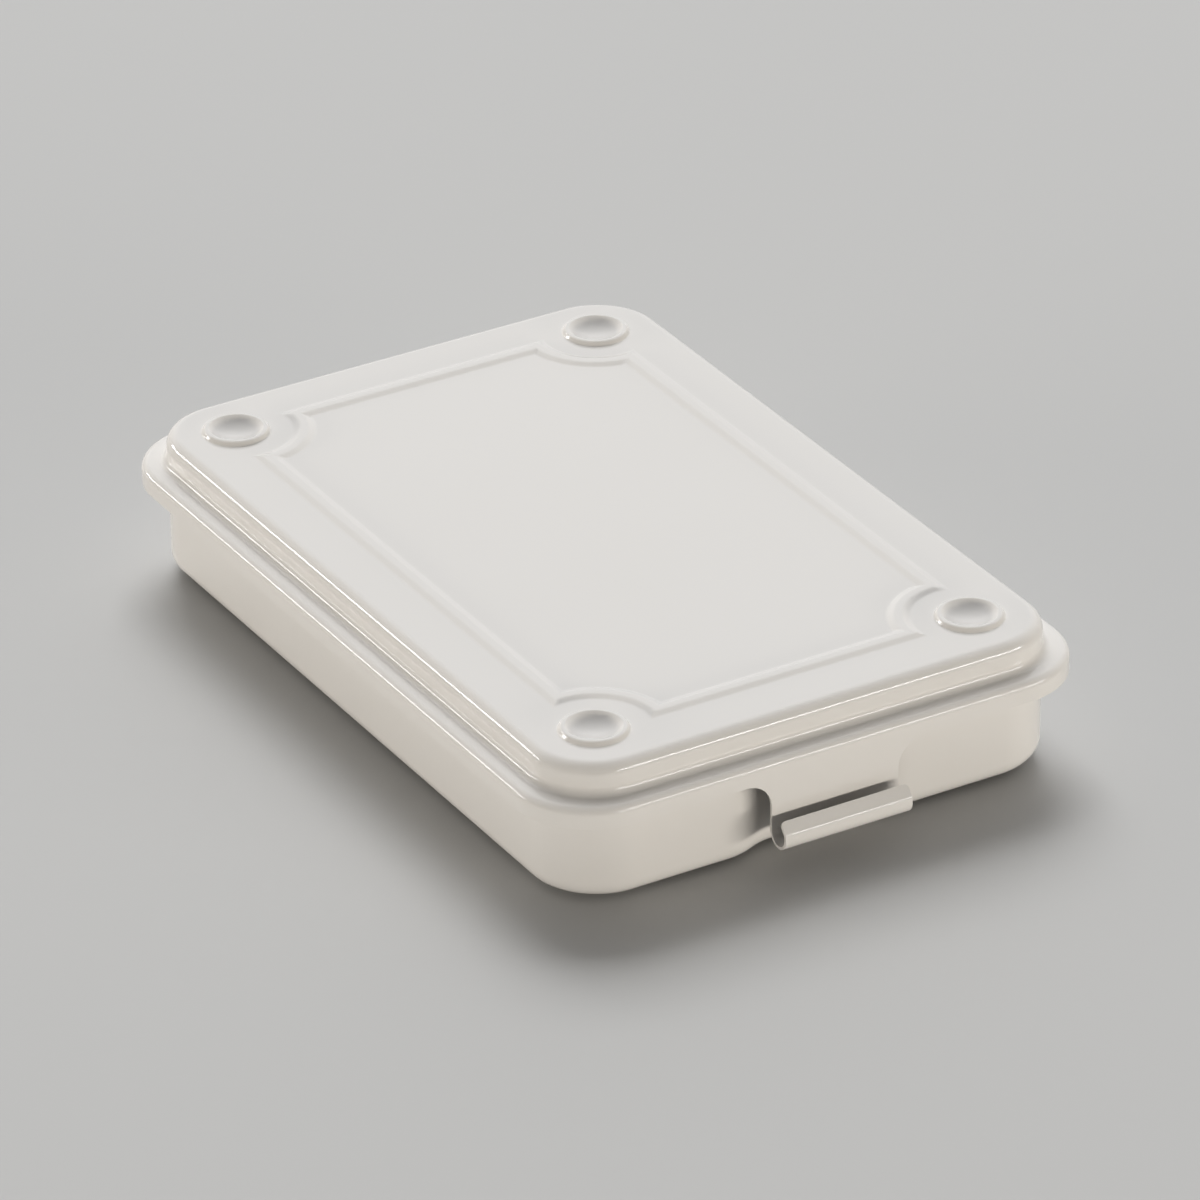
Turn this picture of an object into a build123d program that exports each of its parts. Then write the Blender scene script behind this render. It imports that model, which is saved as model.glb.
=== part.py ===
from build123d import *
import math
import os

# A flat steel box with a hinged lid, pressed from sheet and rolled at the rim.
# X is its width, Y its length with the hinges at +Y and the clasp at -Y.
# Z is up from the surface that its four feet stand on, and the origin is midway between them.

# Driving sizes, in millimetres
sheet = 0.5  # thickness of every pressed piece
cut_past = 1.0  # how far a cut runs past the sheet that it opens

pan_width = 96.9
pan_length = 147.1
pan_corner = 12.8
pan_base_radius = 3.2
foot_radius = 4.0
foot_land_radius = 2.2
foot_root_rounding = 0.5
foot_blend_width = 0.5  # flat round the foot that is pressed with it
stack_gap = 0.1  # from a boss up to the base of a box that stands on this one

lid_top = 26.7  # height of the lid's flat top above the ground
plateau_inset = 0.1  # from the pan's outside in to the raised top's
plateau_corner = 12.0
plateau_edge_radius = 2.2
plateau_height = 4.65  # from the flat top down to the ledge
ledge_width = 3.9
ledge_fall = 1.0  # how far the ledge slopes down on its way out
ledge_root_radius = 0.4
skirt_corner = 14.3
skirt_edge_radius = 1.4
skirt_depth = 9.2  # from the flat top down to the skirt's lower edge
rim_play = 0.3  # between the rolled rim and the skirt
rim_rest = 0.1  # between the rolled rim and the ledge that lies on it
rim_turn = 285.0  # degrees that the rim is rolled through

boss_inset = 12.25  # from the pan's outside in to the middle of a boss
boss_crest_radius = 4.8
boss_height = 0.8
boss_base_radius = 6.2
boss_blend_width = 0.6  # flat round the boss that is pressed with it
boss_dish_depth = 1.5  # below the crest
boss_crest_rounding = 0.5
boss_root_rounding = 0.8

bead_arc_radius = 11.9  # of the bead's middle line, round each boss
bead_base_width = 3.8
bead_crest_width = 1.4
bead_height = 0.4

tongue_width = 24.4
tongue_flare_radius = 4.8
curl_radius = 2.45  # outside of the curl under the tongue
curl_bottom = 5.8  # height of the curl's underside above the ground
leaf_rise = 0.7  # how far the curl runs straight up before it leans back
leaf_length = 2.4
leaf_lean = 40.0  # degrees from upright
leaf_corner_radius = 0.9

scoop_depth = 2.2
scoop_floor_width = 15.6
scoop_ramp = 9.6
scoop_top = 16.9  # where the scoop begins to sink into the wall
scoop_full = 13.9  # where it reaches its full depth
scoop_runout = 0.02  # its depth where it begins

hinge_inset = 21.45  # from the pan's side in to the middle of a hinge
hinge_width = 18.0
lid_knuckle_width = 8.4
knuckle_gap = 0.2
pin_radius = 0.8
pin_clearance = 0.05
pin_overhang = 0.3
pin_end_chamfer = 0.15
knuckle_turn = 290.0
knuckle_drop = 0.25  # from the skirt's edge down to the knuckles
hinge_plate_height = 7.0
hinge_joggle_height = 1.4
hinge_neck_height = 0.6  # from the joggle up to the pin's axis
hinge_plate_corner = 1.5
hinge_bend_radius = 0.4
weld_radius = 1.5
weld_depth = 0.12
weld_spacing = 10.0

# Sizes that follow from them
plateau_width = pan_width - 2 * plateau_inset
plateau_length = pan_length - 2 * plateau_inset
boss_spacing_x = pan_width - 2 * boss_inset
boss_spacing_y = pan_length - 2 * boss_inset
skirt_width = plateau_width + 2 * ledge_width
skirt_length = plateau_length + 2 * ledge_width
skirt_bottom = lid_top - skirt_depth
ledge_root = lid_top - plateau_height
ledge_end = ledge_root - ledge_fall
ledge_slope = math.atan2(ledge_fall, ledge_width)
ledge_drop = sheet / math.cos(ledge_slope)  # upright thickness of the sloping ledge

roll_radius = (ledge_width - plateau_inset - rim_play) / 2
roll_offset = roll_radius - sheet  # from the wall's outside to the middle of the roll
roll_reach = pan_width / 2 + roll_offset - plateau_width / 2
roll_above = ledge_root - roll_reach * math.tan(ledge_slope) - ledge_drop
roll_height = roll_above - (roll_radius + rim_rest) / math.cos(ledge_slope)

dish_radius = (boss_crest_radius ** 2 + boss_dish_depth ** 2) / (2 * boss_dish_depth)
foot_perch = dish_radius - math.sqrt(dish_radius ** 2 - foot_land_radius ** 2)  # in a dish
pan_base = boss_dish_depth - foot_perch + stack_gap
pan_front = -pan_length / 2
pan_back = pan_length / 2
tongue_face = -skirt_length / 2
curl_height = curl_bottom + curl_radius

knuckle_inside = pin_radius + pin_clearance
knuckle_radius = knuckle_inside + sheet
pin_y = skirt_length / 2 - knuckle_radius
pin_z = skirt_bottom - knuckle_drop - knuckle_radius
joggle_high = pin_z - hinge_neck_height
joggle_low = joggle_high - hinge_joggle_height
plate_low = joggle_low - hinge_plate_height
hinge_x = pan_width / 2 - hinge_inset
hinge_places = {"left": -hinge_x, "right": hinge_x}

boss_places = GridLocations(boss_spacing_x, boss_spacing_y, 2, 2)
across = Plane(origin=(0, 0, 0), x_dir=(0, 1, 0), z_dir=(1, 0, 0))  # Y to the right, Z up


def rounded_block(width, length, corner, low, high):
    """An upright block with rounded corners."""
    with BuildPart() as block:
        with BuildSketch(Plane.XY.offset(low)):
            RectangleRounded(width, length, corner)
        extrude(amount=high - low)
    return block.part


def about(value):
    """The narrow range that a selector needs round one value."""
    return value - 0.001, value + 0.001


def edges_at(height, part):
    """The edges of a part that lie flat at one height."""
    return part.edges().filter_by_position(Axis.Z, *about(height))


def rolled_sheet(radius, start, turn):
    """Sheet rolled round the origin, from one angle through another, as a flat section."""
    with BuildSketch() as section:
        with BuildLine():
            outer = CenterArc((0, 0), radius, start, turn)
            inner = CenterArc((0, 0), radius - sheet, start, turn)
            Line(outer @ 0, inner @ 0)
            Line(outer @ 1, inner @ 1)
        make_face()
    return section.sketch


# The body pan
def pressed_foot():
    """A shallow dish of sheet, whose flat land is the foot."""
    rim = foot_radius + foot_blend_width
    with BuildPart() as foot:
        with BuildSketch(Plane.XZ) as section:
            with BuildLine():
                for rise in (0, sheet):
                    Polyline((0, rise), (foot_land_radius, rise), (foot_radius, pan_base + rise), (rim, pan_base + rise))
                Line((0, 0), (0, sheet))
                Line((rim, pan_base), (rim, pan_base + sheet))
            make_face()
            corners = section.vertices()
            fillet(corners.filter_by_position(Axis.X, *about(foot_land_radius)), foot_root_rounding)
            fillet(corners.filter_by_position(Axis.X, *about(foot_radius)), foot_root_rounding)
        revolve(axis=Axis.Z)
    return foot.part


def scoop(front, depth):
    """A finger scoop in the front wall, whose floor runs into the wall by two round ramps."""
    half_floor = scoop_floor_width / 2
    half_mouth = half_floor + scoop_ramp
    middle = half_floor + scoop_ramp / 2
    outside = front - cut_past
    with BuildLine() as outline:
        Line((-half_mouth, outside), (half_mouth, outside))
        Line((half_mouth, outside), (half_mouth, front))
        ramp = TangentArc((half_mouth, front), (middle, front + depth / 2), tangent=(-1, 0))
        TangentArc((middle, front + depth / 2), (half_floor, front + depth), tangent=ramp % 1)
        Line((half_floor, front + depth), (-half_floor, front + depth))
        TangentArc((-half_floor, front + depth), (-middle, front + depth / 2), tangent=(-1, 0))
        other = TangentArc((-half_mouth, front), (-middle, front + depth / 2), tangent=(1, 0))
        Line(other @ 0, (-half_mouth, outside))
    return outline


def scoop_cutter(front, low):
    """The whole scoop: full depth below, and running out to nothing at its top."""
    with BuildPart() as cutter:
        for height, depth in ((low, scoop_depth), (scoop_full, scoop_depth)):
            with BuildSketch(Plane.XY.offset(height)):
                add(scoop(front, depth).line)
                make_face()
        loft(ruled=True)
        for height, depth in ((scoop_full, scoop_depth), (scoop_top, scoop_runout)):
            with BuildSketch(Plane.XY.offset(height)):
                add(scoop(front, depth).line)
                make_face()
        loft(ruled=True)
    return cutter.part


def tub(inset):
    """The solid that the pan's outside, or its inside at one sheet's inset, bounds."""
    low = pan_base + inset
    with BuildPart() as block:
        add(rounded_block(
            pan_width - 2 * inset, pan_length - 2 * inset, pan_corner - inset, low, roll_height
        ))
        add(scoop_cutter(pan_front + inset, low - cut_past), mode=Mode.SUBTRACT)
        fillet(edges_at(low, block), pan_base_radius - inset)
    return block.part


with BuildPart() as body_pan:
    add(tub(0))
    add(tub(sheet), mode=Mode.SUBTRACT)

    # The rim is rolled outwards into an open tube, which hides the cut edge and carries the lid
    roll_x = pan_width / 2 + roll_offset
    with BuildSketch(Plane.XY.offset(roll_height), mode=Mode.PRIVATE) as rim_outline:
        RectangleRounded(2 * roll_x, pan_length + 2 * roll_offset, pan_corner + roll_offset)
    with BuildSketch(Plane(origin=(roll_x, 0, roll_height), x_dir=(1, 0, 0), z_dir=(0, -1, 0))):
        add(rolled_sheet(roll_radius, 180, -rim_turn))
    sweep(path=rim_outline.sketch.face().outer_wire())

    # Four feet are pressed down at the corners, under the lid's bosses
    with BuildSketch(Plane.XY.offset(pan_base)):
        with boss_places:
            Circle(foot_radius + foot_blend_width)
    extrude(amount=sheet, mode=Mode.SUBTRACT)
    with boss_places:
        add(pressed_foot())
body_pan.part.label = "body_pan"


# The lid
def lid_block(inset):
    """The solid that the lid's outside, or its inside at one sheet's inset, bounds."""
    top = lid_top - inset
    sunk = inset / math.cos(ledge_slope) - inset * math.tan(ledge_slope)
    root = ledge_root - sunk
    end = ledge_end - sunk
    plateau = (plateau_width - 2 * inset, plateau_length - 2 * inset, plateau_corner - inset)
    skirt = (skirt_width - 2 * inset, skirt_length - 2 * inset, skirt_corner - inset)
    with BuildPart() as block:
        add(rounded_block(*plateau, root, top))
        add(rounded_block(*skirt, skirt_bottom - inset, end))
        for size, height in ((skirt, end), (plateau, root)):
            with BuildSketch(Plane.XY.offset(height)):
                RectangleRounded(*size)
        loft(ruled=True)
        fillet(edges_at(top, block), plateau_edge_radius - inset)
        fillet(edges_at(end, block), skirt_edge_radius - inset)
        fillet(edges_at(root, block), ledge_root_radius + inset)
    return block.part


def panel_block(base_grow, crest_grow, base):
    """The panel inside the bead, with a round notch about each boss and sloping flanks."""
    with BuildPart() as block:
        for grow, height in ((base_grow, base), (crest_grow, base + bead_height)):
            with BuildSketch(Plane.XY.offset(height)):
                Rectangle(boss_spacing_x + 2 * grow, boss_spacing_y + 2 * grow)
                with boss_places:
                    Circle(bead_arc_radius - grow, mode=Mode.SUBTRACT)
        loft(ruled=True)
    return block.part


def bead(base):
    """The raised bead round the panel, on a surface at one height."""
    foot = bead_base_width / 2
    crest = bead_crest_width / 2
    with BuildPart() as ring:
        add(panel_block(foot, crest, base))
        add(panel_block(-foot, -crest, base), mode=Mode.SUBTRACT)
    return ring.part


def pressed_boss():
    """A raised ring of sheet round a dish, which holds a foot of the box above."""
    crest = lid_top + boss_height
    dish = crest - boss_dish_depth
    rim = boss_base_radius + boss_blend_width
    with BuildPart() as boss:
        with BuildSketch(Plane.XZ) as section:
            with BuildLine():
                for drop in (0, sheet):
                    bowl = TangentArc((0, dish - drop), (boss_crest_radius, crest - drop), tangent=(1, 0))
                    Polyline(bowl @ 1, (boss_base_radius, lid_top - drop), (rim, lid_top - drop))
                Line((0, dish), (0, dish - sheet))
                Line((rim, lid_top), (rim, lid_top - sheet))
            make_face()
            corners = section.vertices()
            fillet(corners.filter_by_position(Axis.X, *about(boss_crest_radius)), boss_crest_rounding)
            fillet(corners.filter_by_position(Axis.X, *about(boss_base_radius)), boss_root_rounding)
        revolve(axis=Axis.Z)
    return boss.part


def tongue():
    """The tongue that hangs from the skirt's front, flared into it by two round corners."""
    half = tongue_width / 2
    hang = (Align.CENTER, Align.MAX)
    with BuildPart() as web:
        with BuildSketch(Plane.XZ.offset(-tongue_face)):
            with Locations((0, skirt_bottom)):
                Rectangle(tongue_width, skirt_bottom - curl_height, align=hang)
                Rectangle(tongue_width + 2 * tongue_flare_radius, tongue_flare_radius, align=hang)
            corner = half + tongue_flare_radius
            with Locations((-corner, skirt_bottom - tongue_flare_radius)):
                Circle(tongue_flare_radius, mode=Mode.SUBTRACT)
            with Locations((corner, skirt_bottom - tongue_flare_radius)):
                Circle(tongue_flare_radius, mode=Mode.SUBTRACT)
        extrude(amount=-sheet)
    return web.part


def curl():
    """The tongue's open curl: a half round, with a flat leaf that leans back over it."""
    middle = tongue_face + sheet - curl_radius
    ridge = middle - curl_radius + sheet / 2
    with BuildPart() as lip:
        with BuildSketch(across):
            with Locations((middle, curl_height)):
                add(rolled_sheet(curl_radius, 0, -180))
            with Locations((ridge, curl_height)):
                Rectangle(sheet, leaf_rise, align=(Align.CENTER, Align.MIN))
            with Locations((ridge, curl_height + leaf_rise)):
                Circle(sheet / 2)
                Rectangle(sheet, leaf_length, rotation=-leaf_lean, align=(Align.CENTER, Align.MIN))
        extrude(amount=tongue_width / 2, both=True)
        ends = lip.edges().filter_by(lambda edge: abs(edge.length - sheet) < 0.001)
        fillet(ends.sort_by(Axis.Z)[-2:], leaf_corner_radius)
    return lip.part


def lid_knuckle():
    """A tab of the skirt's back, rolled inwards round the hinge pin."""
    with BuildPart() as knuckle:
        with BuildSketch(across):
            with Locations((pin_y, pin_z)):
                add(rolled_sheet(knuckle_radius, 0, -knuckle_turn))
            with Locations((pin_y + knuckle_inside, pin_z)):
                Rectangle(sheet, skirt_bottom - pin_z, align=(Align.MIN, Align.MIN))
        extrude(amount=lid_knuckle_width / 2, both=True)
    return knuckle.part


with BuildPart() as lid:
    add(lid_block(0))
    add(lid_block(sheet), mode=Mode.SUBTRACT)

    # The bead is pressed up from below, so the sheet keeps its thickness
    add(bead(lid_top))
    add(bead(lid_top - sheet), mode=Mode.SUBTRACT)

    # Each boss is a pressed dish that takes the place of the flat sheet there
    with BuildSketch(Plane.XY.offset(lid_top)):
        with boss_places:
            Circle(boss_base_radius + boss_blend_width)
    extrude(amount=-sheet, mode=Mode.SUBTRACT)
    with boss_places:
        add(pressed_boss())

    add(tongue())
    add(curl())
    with Locations(*[(x, 0) for x in hinge_places.values()]):
        add(lid_knuckle())
lid.part.label = "lid"


# The hinges
def hinge_leaf(name, x):
    """A leaf welded to the pan's back wall, joggled out and rolled round the pin at both ends."""
    with BuildPart() as leaf:
        with BuildSketch(across.offset(x)):
            with BuildLine():
                Polyline(
                    (pan_back, plate_low),
                    (pan_back + sheet, plate_low),
                    (pan_back + sheet, joggle_low),
                    (pin_y - knuckle_inside, joggle_high),
                    (pin_y - knuckle_inside, pin_z),
                    (pin_y - knuckle_radius, pin_z),
                    (pin_y - knuckle_radius, joggle_high),
                    (pan_back, joggle_low),
                    close=True,
                )
            make_face()
            with Locations((pin_y, pin_z)):
                add(rolled_sheet(knuckle_radius, 180, -knuckle_turn))
        extrude(amount=hinge_width / 2, both=True)

        bends = leaf.edges().filter_by(Axis.X)
        fillet(bends.filter_by_position(Axis.Z, *about(joggle_low)), hinge_bend_radius)
        fillet(leaf.edges().filter_by(Axis.Y).sort_by(Axis.Z)[:2], hinge_plate_corner)

        # The lid's knuckle turns in a gap between the leaf's two
        slot_height = 2 * knuckle_radius + knuckle_drop
        with Locations((x, pin_y, pin_z + knuckle_radius - slot_height / 2)):
            Box(lid_knuckle_width + 2 * knuckle_gap, 4 * knuckle_radius, slot_height, mode=Mode.SUBTRACT)

        # Spot welds leave two round dents in the plate
        with BuildSketch(Plane.XZ.offset(-pan_back - sheet)):
            with Locations((x, plate_low + hinge_plate_height / 2)):
                with GridLocations(weld_spacing, 0, 2, 1):
                    Circle(weld_radius)
        extrude(amount=weld_depth, mode=Mode.SUBTRACT)
    leaf.part.label = name
    return leaf.part


def hinge_pin(name, x):
    """A wire pin with chamfered ends."""
    with BuildPart() as pin:
        with BuildSketch(across.offset(x)):
            with Locations((pin_y, pin_z)):
                Circle(pin_radius)
        extrude(amount=hinge_width / 2 + pin_overhang, both=True)
        chamfer(pin.edges().filter_by(GeomType.CIRCLE), pin_end_chamfer)
    pin.part.label = name
    return pin.part


hinges = []
for side, x in hinge_places.items():
    hinges.append(hinge_leaf(f"hinge_leaf_{side}", x))
    hinges.append(hinge_pin(f"hinge_pin_{side}", x))

os.makedirs("parts", exist_ok=True)
export_step(body_pan.part, "parts/body_pan.step")
export_step(lid.part, "parts/lid.step")
for piece in hinges:
    export_step(piece, f"parts/{piece.label}.step")
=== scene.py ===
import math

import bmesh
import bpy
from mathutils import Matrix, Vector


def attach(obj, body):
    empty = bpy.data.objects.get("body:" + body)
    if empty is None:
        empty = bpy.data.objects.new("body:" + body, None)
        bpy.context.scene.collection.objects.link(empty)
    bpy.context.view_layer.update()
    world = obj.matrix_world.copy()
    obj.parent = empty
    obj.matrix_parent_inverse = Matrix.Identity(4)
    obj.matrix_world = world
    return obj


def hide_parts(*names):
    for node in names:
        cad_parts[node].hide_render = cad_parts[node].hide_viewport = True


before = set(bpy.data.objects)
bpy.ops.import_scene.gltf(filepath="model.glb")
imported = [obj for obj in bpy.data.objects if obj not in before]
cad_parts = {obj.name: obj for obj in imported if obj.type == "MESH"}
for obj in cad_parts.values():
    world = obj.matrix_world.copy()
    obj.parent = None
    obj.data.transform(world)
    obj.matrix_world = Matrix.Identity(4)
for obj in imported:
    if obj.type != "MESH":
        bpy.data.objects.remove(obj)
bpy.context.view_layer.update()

# %% [markdown]
# A small flat steel box is modelled here over a frame that comes from its CAD
# model. The frame has a plain solid for each piece, and says where the piece
# is and what it turns with. Materials alone could dress those solids, but the
# turns of a pressing are softer than theirs. So each piece is modelled again at
# the same place, and takes over from its solid.

print("frame:", sorted(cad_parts))

# %% [markdown]
# The box is two pressings of half-millimetre steel sheet, and a pressing is one
# skin that was pushed into shape. So each one is modelled here as a skin too:
# loops of vertices are laid where the section turns, they are bridged into
# faces, and a Solidify modifier gives the skin its thickness at the end. A
# solid block with bevelled edges would look alike from above, but it would have
# no underside, and the rolled rim and the curl could not be opened out.
#
# An operator works on whatever is selected, so a few helpers select by place.
# Every vertex carries a loop number in a layer of the mesh, so a loop that was
# made earlier can be found again when the next one is bridged to it.

# %% Start a mesh, and select in it
MM = 0.001
NEAR = 0.01  # millimetres: closer than this counts as the same place


def at(*place):
    """A place in millimetres, as metres."""
    return Vector(place) * MM


def begin(name):
    """An empty mesh object at the origin, in edit mode."""
    bpy.ops.object.select_all(action="DESELECT")
    bpy.ops.mesh.primitive_plane_add(size=MM)
    bpy.context.object.name = name
    bpy.context.object.data.name = name
    bpy.ops.object.mode_set(mode="EDIT")
    bpy.ops.mesh.delete(type="VERT")
    edit().verts.layers.int.new("loop")


def edit():
    """The mesh that is being edited."""
    return bmesh.from_edit_mesh(bpy.context.object.data)


def select_none(kind):
    """Deselects everything, and sets whether vertices or faces are selected from now on."""
    bpy.ops.mesh.select_mode(type=kind)
    bpy.ops.mesh.select_all(action="DESELECT")


def show():
    """Passes what was selected in code on to Blender."""
    bmesh.update_edit_mesh(bpy.context.object.data, destructive=False)


print("1, 2 and 3 mm in metres:", tuple(at(1, 2, 3)))


# %% Number the loops, and pick them again
def mark(number):
    """Gives the loop number to every vertex that has none yet."""
    mesh = edit()
    loop = mesh.verts.layers.int["loop"]
    for vertex in mesh.verts:
        if vertex[loop] == 0:
            vertex[loop] = number


def pick(*numbers, where=None):
    """Selects the vertices of some loops, or those at a place, and what lies between them."""
    select_none("VERT")
    mesh = edit()
    loop = mesh.verts.layers.int["loop"]
    for vertex in mesh.verts:
        in_loop = not numbers or vertex[loop] in numbers
        vertex.select = in_loop and (where is None or where(*(vertex.co / MM)))
    mesh.select_flush(True)
    show()
    return sum(vertex.select for vertex in mesh.verts)


def pick_faces(where):
    """Selects the faces whose middle passes a test."""
    select_none("FACE")
    for face in edit().faces:
        face.select = where(face.calc_center_median() / MM)
    show()


def push(*way):
    """Moves what is selected, in millimetres."""
    bpy.ops.transform.translate(value=at(*way))


def extrude(*way):
    """Draws out what is selected, in millimetres."""
    bpy.ops.mesh.extrude_region_move(TRANSFORM_OT_translate={"value": at(*way)})


for helper in (mark, pick, pick_faces, push, extrude):
    print(helper.__name__, "-", helper.__doc__)

# %% [markdown]
# Sheet never turns a truly sharp corner. A Bevel modifier could round the
# edges of a finished piece, but every turn here has its own radius, and two of
# them meet in a curve. So a section is written as its corner points, each with
# a radius, and a helper puts an arc at each corner before any face is made.

# %% Round the corners of a section
def soften(corners, steps):
    """Corners as (across, up, radius), returned as (across, up) with an arc at each radius."""
    path = []
    for i, (across, up, radius) in enumerate(corners):
        here = Vector((across, up))
        if not radius:
            path.append(here)
            continue
        back = (Vector(corners[i - 1][:2]) - here).normalized()
        ahead = (Vector(corners[i + 1][:2]) - here).normalized()
        half = back.angle(ahead) / 2
        centre = here + (back + ahead).normalized() * radius / math.sin(half)
        start = here + back * radius / math.tan(half) - centre
        end = here + ahead * radius / math.tan(half) - centre
        turn = math.pi - 2 * half
        for k in range(steps + 1):
            from_start = math.sin((1 - k / steps) * turn)
            from_end = math.sin(k / steps * turn)
            path.append(centre + (from_start * start + from_end * end) / math.sin(turn))
    return path


example = soften([(0, 0, 0), (2, 0, 1), (2, 2, 0)], steps=2)
print("a softened corner:", [tuple(round(v, 2) for v in point) for point in example])

# %% [markdown]
# The outline of both pressings is a rounded rectangle. A curve could be drawn
# and turned into a mesh, but its corners would need counting. Here it is a
# plane whose four corners are bevelled, with its face taken away. All of them
# get the same number of corner vertices, so bridging two of them gives clean
# four-sided faces.

# %% Loops of vertices
CORNER_STEPS = 24


def rounded_loop(number, half_width, half_length, corner, height):
    bpy.ops.mesh.primitive_plane_add(size=2 * MM, location=at(0, 0, height))
    bpy.ops.transform.resize(value=(half_width, half_length, 1), center_override=at(0, 0, height))
    bpy.ops.mesh.bevel(offset=corner * MM, segments=CORNER_STEPS, profile=0.5, affect="VERTICES")
    bpy.ops.mesh.delete(type="ONLY_FACE")
    mark(number)


def arc(start, centre, axis, angle, steps):
    """A row of vertices, spun clockwise about an axis from the one at the start."""
    bpy.ops.mesh.select_mode(type="VERT")
    bpy.ops.mesh.primitive_plane_add(size=MM, location=start)
    bpy.ops.mesh.merge(type="CENTER")
    bpy.ops.mesh.spin(steps=steps, angle=angle, center=centre, axis=axis)


def bridge(first, second):
    """Faces between two loops. In one plane they would be joined crosswise, so one is lifted."""
    lift = 5
    pick(second)
    push(0, 0, lift)
    pick(first, second)
    bpy.ops.mesh.bridge_edge_loops()
    pick(second)
    push(0, 0, -lift)


def bridge_row(first, last):
    """Faces between each two neighbours in a row of loops."""
    for number in range(first, last):
        bridge(number, number + 1)


print("vertices in a rounded loop:", 4 * (CORNER_STEPS + 1))

# %% [markdown]
# The lid's outer section runs from the flat top over a rounded edge, down a
# short wall, out along a ledge that slopes a little, over a shoulder and down
# the skirt. It was worked out from where its highlights lie. A spin would make
# one corner, but the ledge's corners have another centre than the top's, so
# each turn of the section gets its own rounded rectangle instead.

# %% Lid: the section's loops
TOP = (96.7 / 2, 146.9 / 2, 12.0)  # half width, half length, corner radius
LID_TOP = 26.7
TOP_RADIUS = 2.2
LEDGE = 3.9
LEDGE_ROOT = LID_TOP - 5.15
LEDGE_END = LID_TOP - 5.65
LEDGE_RADIUS = 1.4
SKIRT_CORNER = 14.3
SKIRT_BOTTOM = 17.5

begin("lid_skin")
lid_section = soften([
    (-2.6, LID_TOP, 0), (0, LID_TOP, TOP_RADIUS), (0, LEDGE_ROOT, LEDGE_RADIUS),
    (LEDGE, LEDGE_END, LEDGE_RADIUS), (LEDGE, SKIRT_BOTTOM, 0),
], steps=9)
corner_gain = (SKIRT_CORNER - TOP[2]) / LEDGE
for i, (out, up) in enumerate(lid_section):
    corner = TOP[2] + (out if out < 0 else out * corner_gain)
    rounded_loop(i + 1, TOP[0] + out, TOP[1] + out, corner, up)
bridge_row(1, len(lid_section))
print("skirt outside:", 2 * (TOP[0] + LEDGE), "by", 2 * (TOP[1] + LEDGE), "mm")

# %% [markdown]
# Each corner of the top has a boss: a raised ring round a dish that takes a
# foot of the box stacked above. A sphere could be sunk into the top with a
# Boolean, but it would leave a hard rim. The boss is round, so its loops are
# circles. One is made and then copied to the other three corners, and the same
# helpers press the feet of the pan later.

# %% Round features at the four corners
BOSS = (36.2, 61.3)  # the first boss's middle


def press_round(first, section, steps):
    """Circles round the first corner's boss, bridged, with a face over the smallest."""
    for i, (radius, up) in enumerate(section):
        place = at(*BOSS, up)
        bpy.ops.mesh.primitive_circle_add(vertices=steps, radius=radius * MM, location=place)
        mark(first + i)
    last = first + len(section) - 1
    bridge_row(first, last)
    pick(first)
    bpy.ops.mesh.edge_face_add()
    return last


def copy_to_corners(reach):
    """Copies what lies within reach of the first boss to the other three corners."""
    for dx, dy in ((-1, 0), (0, -1), (-1, -1)):
        pick(where=lambda x, y, z: math.hypot(x - BOSS[0], y - BOSS[1]) < reach)
        shift = at(2 * dx * BOSS[0], 2 * dy * BOSS[1], 0)
        bpy.ops.mesh.duplicate_move(TRANSFORM_OT_translate={"value": shift})


# %% Lid: the bosses
BOSS_FIRST = 100
CREST = 4.8
CREST_TOP = LID_TOP + 0.8
DISH_DEPTH = 1.5
DISH_STEPS = (0.3, 0.9, 1.5, 2.1, 2.7, 3.3, 3.8, 4.2)

dish_radius = (CREST ** 2 + DISH_DEPTH ** 2) / (2 * DISH_DEPTH)
dish_centre = CREST_TOP - DISH_DEPTH + dish_radius
dish = [(r, dish_centre - math.sqrt(dish_radius * dish_radius - r * r), 0) for r in DISH_STEPS]
boss_section = soften(dish + [
    (CREST, CREST_TOP, 0.4), (5.5, CREST_TOP, 0.5), (6.0, LID_TOP, 0.4), (7.0, LID_TOP, 0),
], steps=6)
boss_last = press_round(BOSS_FIRST, boss_section, steps=64)
copy_to_corners(reach=8)
print("boss loops:", len(boss_section), "dish radius:", round(dish_radius, 2))

# %% [markdown]
# A raised bead frames the middle of the top and stiffens it. It follows a
# rectangle through the four bosses, and steps round each boss on an arc. A
# curve with a round profile would stand on the sheet like a wire, and the bead
# is the sheet itself. So each of its loops is four arcs, made by spinning one
# vertex round a boss, and four straight joins.

# %% Lid: one loop of the bead
BEAD_ARC = 11.9


def bead_loop(number, out, height):
    """One loop of the bead, some way outside its middle line."""
    radius = BEAD_ARC - out
    reach = math.sqrt(radius ** 2 - out ** 2)
    sweep = math.pi / 2 + 2 * math.asin(out / radius)
    for sx, sy in ((1, 1), (1, -1), (-1, 1), (-1, -1)):
        start = at(sx * (BOSS[0] + out), sy * (BOSS[1] - reach), height)
        arc(start, at(sx * BOSS[0], sy * BOSS[1], height), (0, 0, sx * sy), sweep, 16)
    mark(number)
    for side in (1, -1):
        pick(number, where=lambda x, y, z: abs(x - side * (BOSS[0] + out)) < NEAR)
        bpy.ops.mesh.edge_face_add()
        pick(number, where=lambda x, y, z: abs(y - side * (BOSS[1] + out)) < NEAR)
        bpy.ops.mesh.edge_face_add()


# %% Lid: the bead
BEAD_FIRST = 200
BEAD_TOP = LID_TOP + 0.4
BEAD_RADIUS = 2.0

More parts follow.
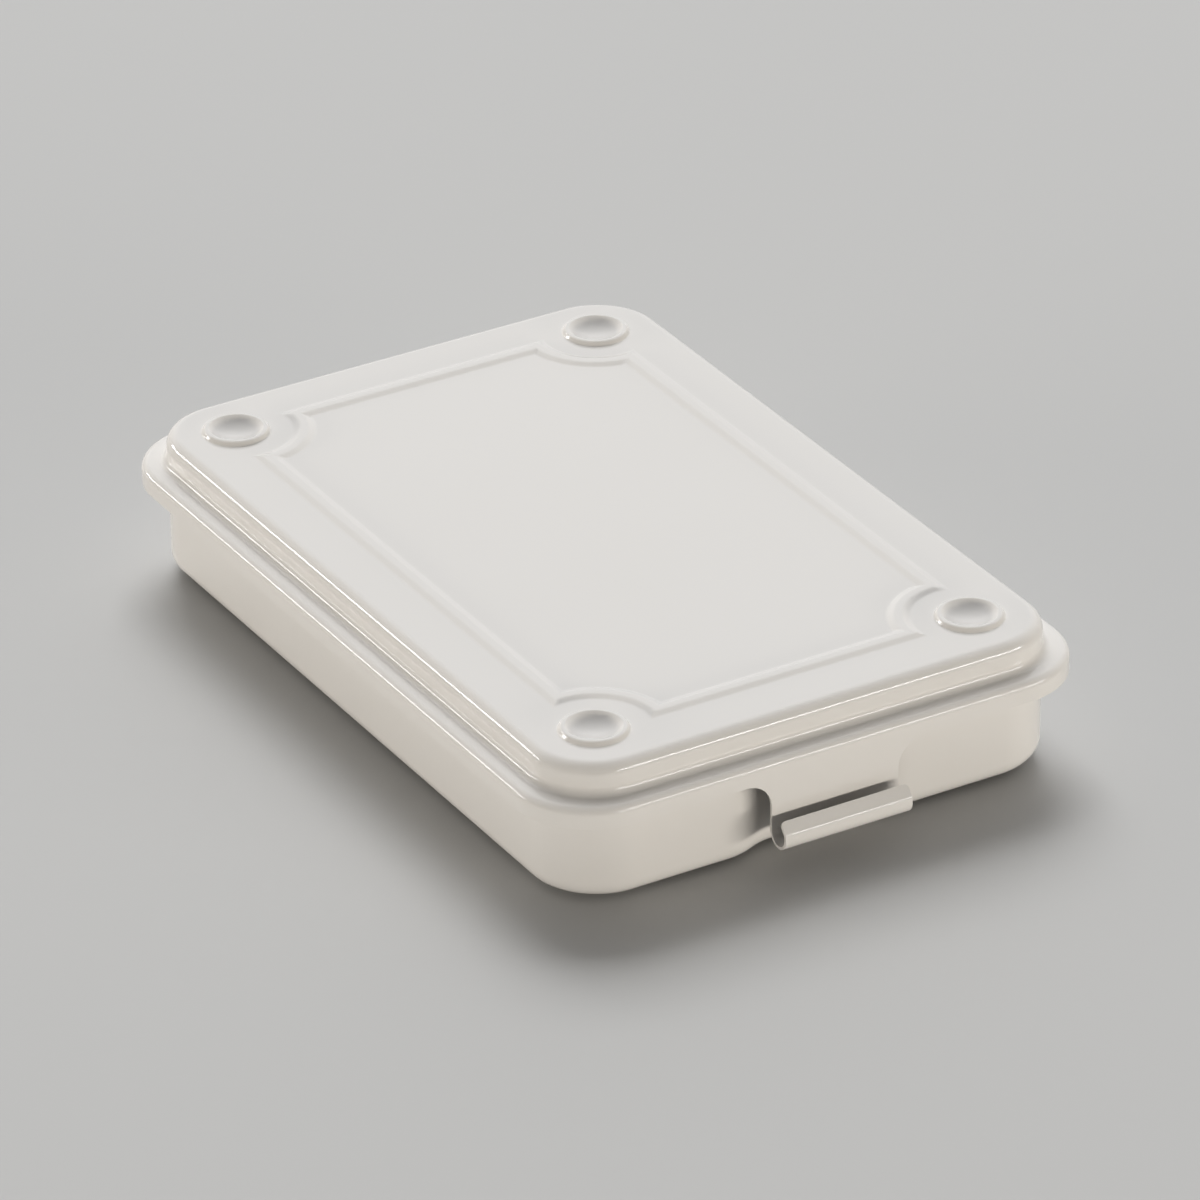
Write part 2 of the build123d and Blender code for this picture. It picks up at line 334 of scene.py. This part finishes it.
bead_section = soften([
    (-2.5, LID_TOP, 0), (-1.9, LID_TOP, BEAD_RADIUS), (-0.7, BEAD_TOP, BEAD_RADIUS),
    (0.7, BEAD_TOP, BEAD_RADIUS), (1.9, LID_TOP, BEAD_RADIUS), (2.5, LID_TOP, 0),
], steps=3)
for i, (out, up) in enumerate(bead_section):
    bead_loop(BEAD_FIRST + i, out, up)
bead_last = BEAD_FIRST + len(bead_section) - 1
bridge_row(BEAD_FIRST, bead_last)
print("bead loops:", len(bead_section))

# %% [markdown]
# What is left of the top is flat: a frame with five holes in it, and the panel
# inside the bead. One many-sided face can't have holes, and a grid of small
# ones would only add work. Fill closes the frame with triangles from its edges.

# %% Lid: the flat faces
pick(1, boss_last, bead_last)
bpy.ops.mesh.fill(use_beauty=True)
pick(BEAD_FIRST)
bpy.ops.mesh.edge_face_add()
bpy.ops.mesh.select_all(action="SELECT")
bpy.ops.mesh.normals_make_consistent(inside=False)
top_face = max(edit().faces, key=lambda face: face.calc_area())
if top_face.normal.z < 0:
    bpy.ops.mesh.flip_normals()
print("largest flat face looks up:", top_face.normal.z > 0)

# %% [markdown]
# The tab hangs from the front of the skirt, and it is the lid's own sheet, so
# it isn't modelled as a piece of its own. Bisect puts vertices in the skirt's
# lower edge where the tab starts, and Extrude draws the edge down in the same
# plane. A spin then rolls it outwards and up, and a few short extrusions turn
# it back over the curl.

# %% Lid: cut and find places in the skirt
FRONT = -(TOP[1] + LEDGE)
BACK = -FRONT
SKIRT_FACES = 20  # the skirt's flat faces have their middle below this height


def split(where, cuts, normal):
    """Cuts the faces at a place along some planes."""
    for cut in cuts:
        pick_faces(where)
        bpy.ops.mesh.bisect(plane_co=Vector(normal) * cut * MM, plane_no=normal)


def skirt_edge(wall, low, high):
    """A test for the skirt's lower edge between two places along a wall."""
    def test(x, y, z):
        on_edge = abs(y - wall) < NEAR and abs(z - SKIRT_BOTTOM) < NEAR
        return on_edge and low - NEAR < x < high + NEAR
    return test


print("front of the skirt at y =", round(FRONT, 2))

# %% Lid: the tab and its curl
SHEET = 0.5
TAB = 12.2
FLARE = 4.8
CURL = 2.45
CURL_UP = 5.8 + CURL
LEAF = ((0.45, 0), (0.17, 10), (0.17, 20), (0.17, 30), (2.13, 40))  # length, degrees of lean
LEAF_CORNER = 0.9

split(lambda middle: middle.y < FRONT + NEAR and middle.z < SKIRT_FACES,
      (-TAB - FLARE, -TAB, TAB, TAB + FLARE), (1, 0, 0))
pick(where=skirt_edge(FRONT, -TAB, TAB))
extrude(0, 0, CURL_UP - SKIRT_BOTTOM)
curl_centre = at(0, FRONT + SHEET - CURL, CURL_UP)
bpy.ops.mesh.spin(steps=20, angle=math.pi, center=curl_centre, axis=(1, 0, 0))
for length, degrees in LEAF:
    lean = math.radians(degrees)
    extrude(0, length * math.sin(lean), length * math.cos(lean))
mark(300)
leaf_end = [vertex.co / MM for vertex in edit().verts if vertex.select]
print("the leaf ends at:", [tuple(round(v, 2) for v in end) for end in leaf_end])
bpy.ops.mesh.bevel(offset=LEAF_CORNER * MM, segments=6, affect="VERTICES")

# %% [markdown]
# Two round flares carry the tab's sides into the skirt's edge, so that the
# sheet doesn't tear there. A bevel on the inner corner would need a face to
# work on, and there is none yet. So each flare is an arc spun from one vertex,
# and the three-sided gap behind it is closed with a face.

# %% Lid: the flares beside the tab
def tab_wall(middle):
    """A test for the flat part of the tab, below the skirt."""
    return abs(middle.y - FRONT) < NEAR and abs(middle.x) < TAB and middle.z < SKIRT_BOTTOM


split(tab_wall, (SKIRT_BOTTOM - FLARE,), (0, 0, 1))
for side in (1, -1):
    x = side * (TAB + FLARE)
    centre = at(x, FRONT, SKIRT_BOTTOM - FLARE)
    arc(at(x, FRONT, SKIRT_BOTTOM), centre, (0, side, 0), math.pi / 2, 10)
    mark(301)
bpy.ops.mesh.select_all(action="SELECT")
bpy.ops.mesh.remove_doubles(threshold=0.002 * MM)


def flare(side):
    """A test for one flare's arc and the corner behind it."""
    across, up = TAB + FLARE, SKIRT_BOTTOM - FLARE

    def test(x, y, z):
        on_arc = abs(math.hypot(side * x - across, z - up) - FLARE) < NEAR
        inside = side * x < across + NEAR and z > up - NEAR
        corner = abs(side * x - TAB) < NEAR and abs(z - SKIRT_BOTTOM) < NEAR
        return abs(y - FRONT) < NEAR and side * x > 0 and (on_arc and inside or corner)
    return test


for side in (1, -1):
    print("flare vertices:", pick(where=flare(side)))
    bpy.ops.mesh.edge_face_add()

# %% [markdown]
# At the back two narrower tabs are rolled inwards round the hinge pins. Tubes
# laid under the skirt would do from afar, but a real knuckle is the end of the
# sheet. The lid's pivot is where they are, so they turn with it.

# %% Lid: the hinge knuckles
PIN = (76.0, 15.9)  # how far back, and how high
HINGES = {"left": -27.0, "right": 27.0}
KNUCKLE = 4.2
ROLL_TURN = math.radians(290)

split(lambda middle: middle.y > BACK - NEAR and middle.z < SKIRT_FACES,
      [x + side * KNUCKLE for x in HINGES.values() for side in (-1, 1)], (1, 0, 0))
for x in HINGES.values():
    pick(where=skirt_edge(BACK, x - KNUCKLE, x + KNUCKLE))
    extrude(0, 0, PIN[1] - SKIRT_BOTTOM)
    bpy.ops.mesh.spin(steps=24, angle=ROLL_TURN, center=at(x, *PIN), axis=(1, 0, 0))
print("knuckles at x =", sorted(HINGES.values()))

# %% [markdown]
# Half a millimetre of steel shows wherever the sheet is cut: at the tab's
# sides, the curl and the rim. The skin could be copied inwards by hand, but
# Solidify does that and closes the cut edges. They are rounded a little, as a
# coat of enamel leaves them, and the normals are weighted by the size of the
# faces, so that the flat ones stay flat in the light.

# %% Give a skin its thickness
SMOOTH = math.radians(35)
CUT_EDGE = math.radians(70)  # only a cut edge turns by more than this


def look_outwards(where):
    """Makes the faces agree, and turns them all if one that is known looks inwards."""
    bpy.ops.mesh.select_all(action="SELECT")
    bpy.ops.mesh.normals_make_consistent(inside=False)
    known = next(face for face in edit().faces if where(face.calc_center_median() / MM))
    if known.normal.dot(known.calc_center_median()) < 0:
        bpy.ops.mesh.flip_normals()


def apply(piece, kind, **settings):
    """Adds a modifier with some settings, and applies it."""
    modifier = piece.modifiers.new(kind.lower(), kind)
    for key, setting in settings.items():
        setattr(modifier, key, setting)
    bpy.ops.object.modifier_apply(modifier=modifier.name)


def finish(name, bevel):
    """Leaves edit mode and gives the skin its thickness, soft cut edges and smooth shading."""
    bpy.ops.mesh.select_all(action="SELECT")
    bpy.ops.object.mode_set(mode="OBJECT")
    piece = bpy.data.objects[name]
    apply(piece, "SOLIDIFY", thickness=SHEET * MM, offset=-1,
          use_even_offset=True, use_quality_normals=True)
    apply(piece, "BEVEL", width=bevel * MM, segments=2,
          limit_method="ANGLE", angle_limit=CUT_EDGE)
    bpy.ops.object.shade_smooth_by_angle(angle=SMOOTH)
    apply(piece, "WEIGHTED_NORMAL", keep_sharp=True)
    sides = [len(face.vertices) for face in piece.data.polygons]
    print(name, "faces:", len(sides), "triangles:", sum(n - 2 for n in sides))
    return piece


look_outwards(lambda middle: middle.z > LID_TOP - NEAR and abs(middle.x) < 20)
lid = finish("lid_skin", bevel=0.2)

# %% [markdown]
# The pan is made the same way from its own section: the base's edge, the wall,
# and a rim that is rolled outwards into an open tube, which hides the cut edge
# and gives the lid something to close over. A thick rim made by Solidify would
# look like cast metal from the side, so the roll is drawn as it is.

# %% Pan: the section's loops
PAN = (96.9 / 2, 147.1 / 2, 12.8)  # half width, half length, corner radius
PAN_BASE = 1.308
RIM = 1.25
RIM_UP = 19.28
RIM_STEPS = 24
RIM_TURN = 285

begin("pan_skin")
pan_section = soften([(-5, PAN_BASE, 0), (0, PAN_BASE, 3.2), (0, RIM_UP, 0)], steps=10)
for k in range(1, RIM_STEPS + 1):
    angle = math.radians(180 - RIM_TURN * k / RIM_STEPS)
    pan_section.append(Vector((RIM + RIM * math.cos(angle), RIM_UP + RIM * math.sin(angle))))
for i, (out, up) in enumerate(pan_section):
    rounded_loop(i + 1, PAN[0] + out, PAN[1] + out, PAN[2] + out, up)
bridge_row(1, len(pan_section))
print("pan section loops:", len(pan_section))

# %% [markdown]
# A shallow scoop in the front wall makes room for a finger behind the tab.
# Sculpting it would be quick, but not even, and a Boolean would leave hard
# edges. So the wall is cut into columns and rows there, and each crossing is
# pushed in by an amount that follows an S curve.

# %% Pan: cut the wall where the scoop is
SCOOP_FLOOR = 7.8
SCOOP_RAMP = 9.6
SCOOP_ROWS = (13.9, 14.65, 15.4, 16.15, 16.9)
SCOOP_STEPS = 12
SCOOP_FRONT = -60  # only the front wall lies beyond this place

scoop_columns = [SCOOP_FLOOR + SCOOP_RAMP * k / SCOOP_STEPS for k in range(SCOOP_STEPS + 1)]


def front_wall(middle):
    """A test for the flat part of the front wall, below the rim."""
    flat = abs(middle.x) < PAN[0] - PAN[2] - 1
    return middle.y < SCOOP_FRONT and flat and middle.z < SKIRT_BOTTOM


split(front_wall, [side * column for column in scoop_columns for side in (-1, 1)], (1, 0, 0))
split(front_wall, SCOOP_ROWS, (0, 0, 1))
print("scoop columns:", 2 * len(scoop_columns), "rows:", len(SCOOP_ROWS))

# %% Pan: push the scoop in
SCOOP = 2.2
SCOOP_FADE = 3.0


def ease(t):
    """From 0 to 1 along an S curve."""
    t = min(max(t, 0), 1)
    return 2 * t * t if t < 0.5 else 1 - 2 * (1 - t) ** 2


def crossing(column, low, high):
    """A test for a column's vertices in the front wall, between two heights."""
    def test(x, y, z):
        return abs(abs(x) - column) < NEAR and y < SCOOP_FRONT and low < z < high
    return test


for column in scoop_columns[:-1]:
    low = 0
    for row in SCOOP_ROWS[:-1]:
        pick(where=crossing(column, low, row + 0.1))
        across = ease((scoop_columns[-1] - column) / SCOOP_RAMP)
        push(0, SCOOP * across * ease((SCOOP_ROWS[-1] - row) / SCOOP_FADE), 0)
        low = row + 0.1
print("scoop depth:", SCOOP, "mm")

# %% [markdown]
# Four feet are pressed down out of the base, under the lid's bosses, so that a
# box above stands in the dishes of the one below. They are the same kind of
# round pressing as the bosses, so the same helpers make them, and Fill closes
# the base round them.

# %% Pan: the feet and the base
FOOT_FIRST = 100
foot_section = soften([
    (1.2, 0, 0), (2.2, 0, 0.5), (4.0, PAN_BASE, 0.5), (4.6, PAN_BASE, 0),
], steps=6)
foot_last = press_round(FOOT_FIRST, foot_section, steps=48)
copy_to_corners(reach=5)
pick(1, foot_last)
bpy.ops.mesh.fill(use_beauty=True)
look_outwards(lambda middle: middle.x > PAN[0] - NEAR and 5 < middle.z < 17)
pan = finish("pan_skin", bevel=0.1)

# %% [markdown]
# Each hinge has a leaf, welded to the back wall. It is a strip that steps out
# from the wall and rolls over the pin. Its middle is cut away, so that the
# lid's knuckle has its place between the two that are left. It could be a
# plate and two tubes, but in steel it is one strip, and so it is here.

# %% Hinge leaf: the strip and its rolls
LEFT = HINGES["left"]
WALL = PAN[1] + SHEET
LEAF_WIDTH = 18
LEAF_LOW = 6.9
JOGGLE = (13.9, 15.3)  # the heights between which the leaf steps out
LEAF_FACE = PIN[0] - 0.85
LEAF_GAP = 4.6
plate_up = (LEAF_LOW + JOGGLE[0]) / 2

begin("hinge_leaf_left_skin")
plate = at(LEFT, WALL, plate_up)
bpy.ops.mesh.primitive_plane_add(size=MM, location=plate, rotation=(math.radians(-90), 0, 0))
bpy.ops.transform.resize(value=(LEAF_WIDTH, 1, JOGGLE[0] - LEAF_LOW), center_override=plate)
mark(1)
pick(where=lambda x, y, z: abs(z - JOGGLE[0]) < NEAR)
extrude(0, LEAF_FACE - WALL, JOGGLE[1] - JOGGLE[0])
extrude(0, 0, PIN[1] - JOGGLE[1])
bpy.ops.mesh.spin(steps=24, angle=ROLL_TURN, center=at(LEFT, *PIN), axis=(1, 0, 0))
print("leaf stands out from the wall by", round(LEAF_FACE - WALL, 2), "mm")

# %% Hinge leaf: the gap and the soft corners
GAP_UP = 14.3
JOGGLE_RADIUS = 0.3
PLATE_CORNER = 1.5

split(lambda middle: True, (LEFT - LEAF_GAP, LEFT + LEAF_GAP), (1, 0, 0))
split(lambda middle: True, (GAP_UP,), (0, 0, 1))
pick_faces(lambda middle: abs(middle.x - LEFT) < LEAF_GAP and middle.z > GAP_UP)
bpy.ops.mesh.delete(type="FACE")
pick(where=lambda x, y, z: abs(z - JOGGLE[0]) < NEAR)
bpy.ops.mesh.bevel(offset=JOGGLE_RADIUS * MM, segments=4, affect="EDGES")
pick(where=lambda x, y, z: abs(z - LEAF_LOW) < NEAR and abs(abs(x - LEFT) - LEAF_WIDTH / 2) < NEAR)
bpy.ops.mesh.bevel(offset=PLATE_CORNER * MM, segments=6, affect="VERTICES")
look_outwards(lambda middle: middle.z < JOGGLE[0] - 0.5)
leaf_left = finish("hinge_leaf_left_skin", bevel=0.08)

# %% [markdown]
# Two spot welds leave shallow round dents in the plate. Bump in the material
# could fake them, but a dent that catches the light is easy to cut. A Boolean
# modifier takes them out with a pair of low cylinders. The right-hand leaf is
# the same part, so it is a copy.

# %% Weld dents, and the second leaf
WELD = (1.5, 5, 0.12)  # radius, distance from the leaf's middle, depth
CUTTER = 2  # length of the cylinder that cuts a dent

for side in (-1, 1):
    bpy.ops.object.select_all(action="DESELECT")
    bpy.ops.mesh.primitive_cylinder_add(
        vertices=40, radius=WELD[0] * MM, depth=CUTTER * MM,
        location=at(LEFT + side * WELD[1], WALL + CUTTER / 2 - WELD[2], plate_up),
        rotation=(math.pi / 2, 0, 0),
    )
    cutter = bpy.context.object
    bpy.context.view_layer.objects.active = leaf_left
    apply(leaf_left, "BOOLEAN", operation="DIFFERENCE", object=cutter)
    bpy.data.objects.remove(cutter)


def copy_across(piece, name):
    """A copy of a left-hand piece, with its own mesh, at the right-hand hinge."""
    bpy.ops.object.select_all(action="DESELECT")
    piece.select_set(True)
    bpy.context.view_layer.objects.active = piece
    bpy.ops.object.duplicate(linked=False)
    twin = bpy.context.object
    twin.name = name
    push(HINGES["right"] - HINGES["left"], 0, 0)
    bpy.ops.object.transform_apply(location=True, rotation=True, scale=True)
    return twin


leaf_right = copy_across(leaf_left, "hinge_leaf_right_skin")
print("hinge leaves:", leaf_left.name, leaf_right.name)

# %% [markdown]
# The pins are cut from wire, so a curve with a round profile would make one
# too. A cylinder is simpler, and its end edges can be broken with a bevel, as
# the cutter leaves them.

# %% Hinge pins
PIN_RADIUS = 0.8
PIN_LENGTH = 18.6
PIN_EDGE = 0.15

bpy.ops.object.select_all(action="DESELECT")
bpy.ops.mesh.primitive_cylinder_add(
    vertices=48, radius=PIN_RADIUS * MM, depth=PIN_LENGTH * MM,
    location=at(LEFT, *PIN), rotation=(0, math.pi / 2, 0),
)
pin_left = bpy.context.object
pin_left.name = "hinge_pin_left_wire"
bpy.ops.object.transform_apply(location=True, rotation=True, scale=True)
bpy.ops.object.mode_set(mode="EDIT")
for end in (-PIN_LENGTH / 2, PIN_LENGTH / 2):
    pick_faces(lambda middle: abs(middle.x - LEFT - end) < NEAR)
    bpy.ops.mesh.bevel(offset=PIN_EDGE * MM, segments=3, affect="EDGES")
bpy.ops.object.mode_set(mode="OBJECT")
bpy.ops.object.shade_smooth_by_angle(angle=SMOOTH)
pin_right = copy_across(pin_left, "hinge_pin_right_wire")
print("pin length:", round(pin_left.dimensions.x / MM, 2), "mm")

# %% [markdown]
# Each new piece now takes over from the solid of its CAD node, and rides on the
# body that carries it. Only the lid turns. The rest stays with the pan.

# %% Each piece stands for its CAD node and rides on its body
for piece, node, body in (
    (lid, "lid", "lid"), (pan, "body_pan", "box"),
    (leaf_left, "hinge_leaf_left", "box"), (leaf_right, "hinge_leaf_right", "box"),
    (pin_left, "hinge_pin_left", "box"), (pin_right, "hinge_pin_right", "box"),
):
    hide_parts(node)
    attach(piece, body)
    print(piece.name, "rides on", body)

# %% [markdown]
# Finishes are node trees. They could be wired by hand in the editor, or in code
# one link at a time. Here a little class wraps a socket, so that the sums on it
# read as plain arithmetic, and one method adds any other node.

# %% A socket that can be used in sums
class Value:
    """A socket that adds Math nodes when it is used in a sum."""

    def __init__(self, finish, socket):
        self.finish = finish
        self.socket = socket

    def sum(self, operation, *values):
        return self.finish.node("ShaderNodeMath", {"operation": operation}, *values)

    def __add__(self, other):
        return self.sum("ADD", self, other)

    def __sub__(self, other):
        return self.sum("SUBTRACT", self, other)

    def __rsub__(self, other):
        return self.sum("SUBTRACT", other, self)

    def __mul__(self, other):
        return self.sum("MULTIPLY", self, other)

    def __pow__(self, other):
        return self.sum("POWER", self, other)

    __radd__ = __add__
    __rmul__ = __mul__


print("sums with:", [name for name in vars(Value) if name.startswith("__r")])


# %% A finish and its nodes
class Finish:
    """The node tree of a material or a world, and the shader that its values go to."""

    def __init__(self, owner, shader="Principled BSDF"):
        owner.use_nodes = True
        self.owner = owner
        self.tree = owner.node_tree
        self.shader = self.tree.nodes[shader]
        self.places = self.tree.nodes.new("ShaderNodeTexCoord").outputs

    def plug(self, value, socket):
        """Links a value to a socket, or sets the socket to a plain number or colour."""
        if isinstance(value, Value):
            self.tree.links.new(value.socket, socket)
        elif value is not None:
            socket.default_value = value

    def node(self, kind, settings, *values, out=0, **named):
        """A node of that type, with its settings first and then its inputs, in order or by name."""
        new = self.tree.nodes.new(kind)
        for key, setting in settings.items():
            setattr(new, key, setting)
        for socket, value in zip(new.inputs, values):
            self.plug(value, socket)
        for name, value in named.items():
            self.plug(value, new.inputs[name.replace("_", " ")])
        return Value(self, new.outputs[out])

    def noise(self, scale, detail, place=None):
        """Noise from 0 to 1, with that many features in a metre."""
        place = place or Value(self, self.places["Object"])
        return self.node("ShaderNodeTexNoise", {}, Vector=place, Scale=scale, Detail=detail)

    def mix(self, amount, first, second):
        """A colour between two others. The node's colour sockets are its seventh and eighth."""
        settings = {"data_type": "RGBA"}
        skipped = [None] * 5
        return self.node("ShaderNodeMix", settings, amount, *skipped, first, second, out=2)

    def set(self, **inputs):
        """Values for the shader's own sockets."""
        for name, value in inputs.items():
            self.plug(value, self.shader.inputs[name.replace("_", " ")])
        print(self.owner.name, "has", len(self.tree.nodes), "nodes")

    def coat(self, *pieces):
        """Gives the pieces this material and no other."""
        for piece in pieces:
            piece.data.materials.clear()
            piece.data.materials.append(self.owner)


# %% [markdown]
# The sheet is finished in a baked enamel: even, a little warm, half glossy. One
# flat colour would look like plastic. Up close the enamel has a faint orange
# peel, which breaks up the edges of reflections, and its colour drifts slightly
# from place to place. Both are noise, so no picture is needed.

# %% Enamel
enamel = Finish(bpy.data.materials.new("enamel"))
drift = enamel.noise(22, 3.0)
colour = enamel.mix(drift, (0.69, 0.672, 0.648, 1), (0.71, 0.693, 0.671, 1))
grain = enamel.noise(700, 1.5) + 0.25 * enamel.noise(1900, 1.0)
peel = enamel.node("ShaderNodeBump", {}, Strength=0.2, Distance=0.00002, Height=grain)
enamel.set(Base_Color=colour, Roughness=0.10 + 0.04 * (drift - 0.5), Normal=peel, IOR=1.5)
enamel.coat(lid, pan, leaf_left, leaf_right)

# %% [markdown]
# The pins are drawn steel wire. Brushed metal is often made with anisotropy,
# but on a pin of this size only the fine lines along the wire show. So the
# noise is stretched that way and changes the colour and the roughness.

# %% Drawn wire
wire = Finish(bpy.data.materials.new("drawn_wire"))
place = Value(wire, wire.places["Object"])
along = wire.node("ShaderNodeMapping", {}, Vector=place, Scale=(60, 4000, 4000))
lines = wire.noise(1.0, 3.0, along)
steel = wire.mix(lines, (0.42, 0.41, 0.40, 1), (0.60, 0.59, 0.58, 1))
wire.set(Base_Color=steel, Metallic=1.0, Roughness=0.28 + 0.2 * lines)
wire.coat(pin_left, pin_right)

# %% [markdown]
# The box stands on a plain pale surface. A curved backdrop would hide the
# horizon, but from this height the camera never sees one, so a plane is enough.

# %% Floor
FLOOR_SIZE = 6  # metres

bpy.ops.object.select_all(action="DESELECT")
bpy.ops.mesh.primitive_plane_add(size=FLOOR_SIZE)
floor = bpy.context.object
floor.name = "floor"
paper = Finish(bpy.data.materials.new("floor"))
paper.set(Base_Color=(0.56, 0.56, 0.555, 1), Roughness=0.6, Specular_IOR_Level=0.2)
paper.coat(floor)

# %% [markdown]
# The room round the box is dim, and brightens softly towards the back on the
# right. That is what the flat top mirrors, so it gives the enamel its sheen. A
# photograph of a room would do too, but a sum on the direction is enough.

# %% Room
KEY = Vector((0.42, 0.72, 0.55)).normalized()
AMBIENT = 0.12
KEY_GLOW = 1.5
room = Finish(bpy.data.worlds.new("room"), "Background")
bpy.context.scene.world = room.owner
direction = Value(room, room.places["Generated"])
to_key = room.node("ShaderNodeVectorMath", {"operation": "DOT_PRODUCT"}, direction, KEY, out=1)
room.set(Color=(0.98, 0.98, 0.98, 1), Strength=AMBIENT + KEY_GLOW * to_key ** 5)
bpy.context.scene.view_settings.view_transform = "Standard"

# %% [markdown]
# Soft lamps do the rest. The one overhead casts the shadow, and two long, low,
# warm ones light the walls that the camera sees. One lamp in front could light
# both walls, but then the corner between them would be the brightest place.
# Two slim strips only show as bright lines where the sheet turns, so they light
# nothing else.

# %% Lamps
def lamp(name, towards, away, width, height, watts):
    """An oblong lamp at a distance in metres from the box, turned to face it."""
    light = bpy.data.lights.new(name, "AREA")
    light.shape = "RECTANGLE"
    light.size = width
    light.size_y = height
    light.energy = watts
    stand = bpy.data.objects.new(name, light)
    bpy.context.collection.objects.link(stand)
    stand.location = Vector(towards).normalized() * away
    stand.rotation_euler = (-stand.location).to_track_quat("-Z", "Y").to_euler()
    return stand


overhead = lamp("overhead", (0.28, 0.60, 0.75), 5, 2.7, 2.7, 175)
fill_front = lamp("fill_front", (0.30, -0.95, 0.07), 3, 2.6, 0.25, 65)
fill_left = lamp("fill_left", (-0.95, 0.30, 0.07), 3, 2.6, 0.25, 61)
for fill in (fill_front, fill_left):
    fill.data.color = (1.0, 0.94, 0.85)
for soft in (overhead, fill_front, fill_left):
    soft.visible_glossy = False
strip_right = lamp("strip_right", (0.44, -0.85, 0.30), 3, 2.6, 0.35, 42)
strip_left = lamp("strip_left", (-0.60, 0.76, 0.26), 3, 2.2, 0.35, 30)
for strip in (strip_right, strip_left):
    strip.visible_diffuse = False
print("lamps:", [light.name for light in bpy.data.lights])

# %% [markdown]
# The camera looks down at the box from the left of its tab. A long lens far
# away keeps the sides nearly parallel, as in a catalogue picture. A short lens
# close by would show the same faces, but the far end would shrink.

# %% Camera
LENS = 250.9
TURN = math.radians(-30.108)
LOOK_DOWN = math.radians(28.787)
TWIST = math.radians(-0.749)
STAND_BACK = (0.85, -13.33, 1420.6)  # right, up and back from the middle of the lid's top

camera = bpy.data.objects.new("camera", bpy.data.cameras.new("camera"))
bpy.context.collection.objects.link(camera)
camera.data.lens = LENS
camera.data.sensor_width = 36
turn = Matrix.Rotation(TURN, 3, "Z")
tilt = Matrix.Rotation(math.pi / 2 - LOOK_DOWN, 3, "X")
twist = Matrix.Rotation(TWIST, 3, "Z")
aim = turn @ tilt @ twist
place = at(0, 0, LID_TOP) + aim @ at(*STAND_BACK)
camera.matrix_world = Matrix.Translation(place) @ aim.to_4x4()
bpy.context.scene.camera = camera
print("camera at:", [round(v, 3) for v in camera.matrix_world.translation])

# %% [markdown] Blender may change how the box looks, but not how big it is.
